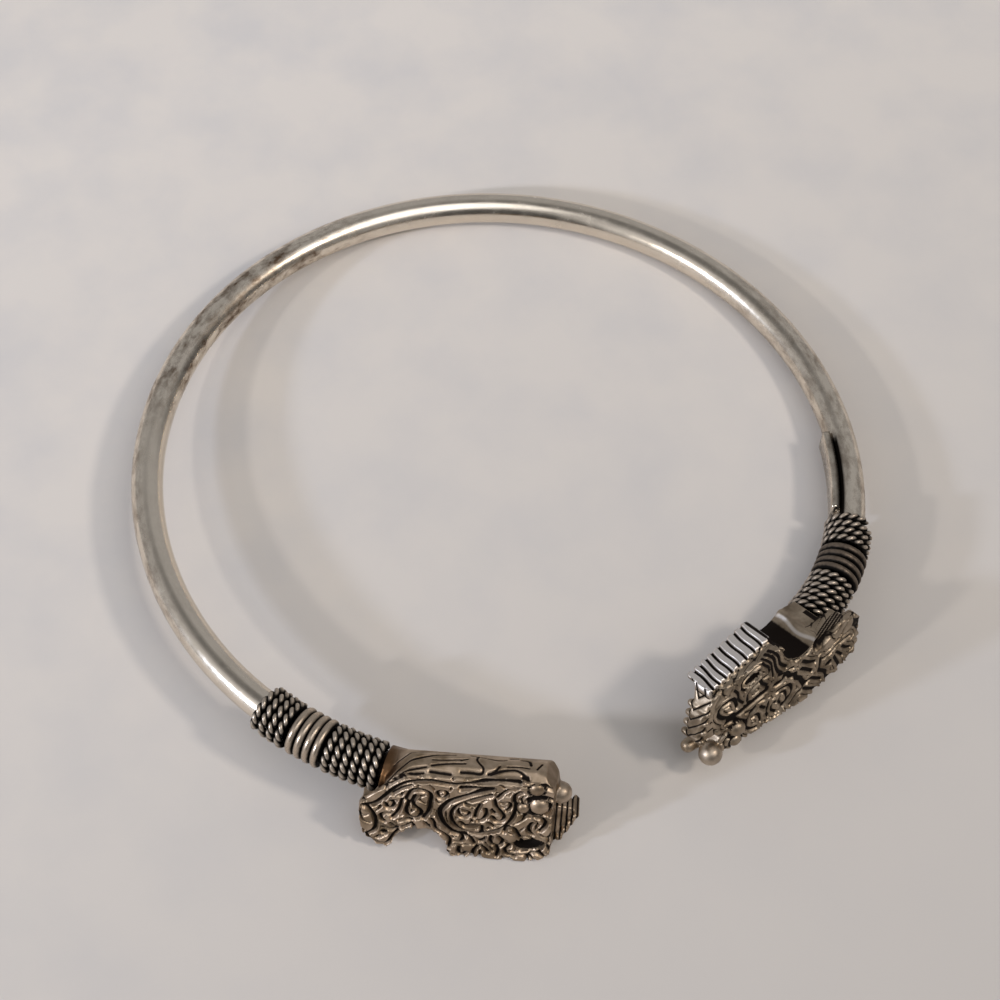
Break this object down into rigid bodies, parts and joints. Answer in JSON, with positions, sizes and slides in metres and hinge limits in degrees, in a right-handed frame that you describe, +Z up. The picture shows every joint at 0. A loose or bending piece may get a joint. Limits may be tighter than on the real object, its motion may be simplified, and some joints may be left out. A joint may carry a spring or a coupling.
{
  "type": "open cuff bracelet",
  "caption": "Open cuff bracelet: a round rod bent to a ring, wound with twisted and plain wire near both ends, which carry cast beast heads facing each other across the opening.",
  "frame": {"origin": "middle of the bottom face of the box around the whole cuff, on the surface that it lies on", "axes": "+Z up from the surface, -Y toward the opening between the heads, +X toward the head whose jaw is turned up"},
  "size_m": [0.0652, 0.0669, 0.0108],
  "materials": {
    "rod_silver": "worn polish, lightly tarnished",
    "wire_silver": "worn polish, dark between the turns",
    "rope_silver": "oxidised, bright on the high strands",
    "cast_silver": "oxidised casting, rubbed bright on the relief"
  },
  "bodies": {
    "root": {"bangle_rod": "rod_silver", "left_rod_rope": "rope_silver", "left_plain_wire": "wire_silver", "left_head_rope": "rope_silver", "right_rod_rope": "rope_silver", "right_plain_wire": "wire_silver", "right_head_rope": "rope_silver", "left_head": "cast_silver", "right_head": "cast_silver"}
  },
  "joints": []
}
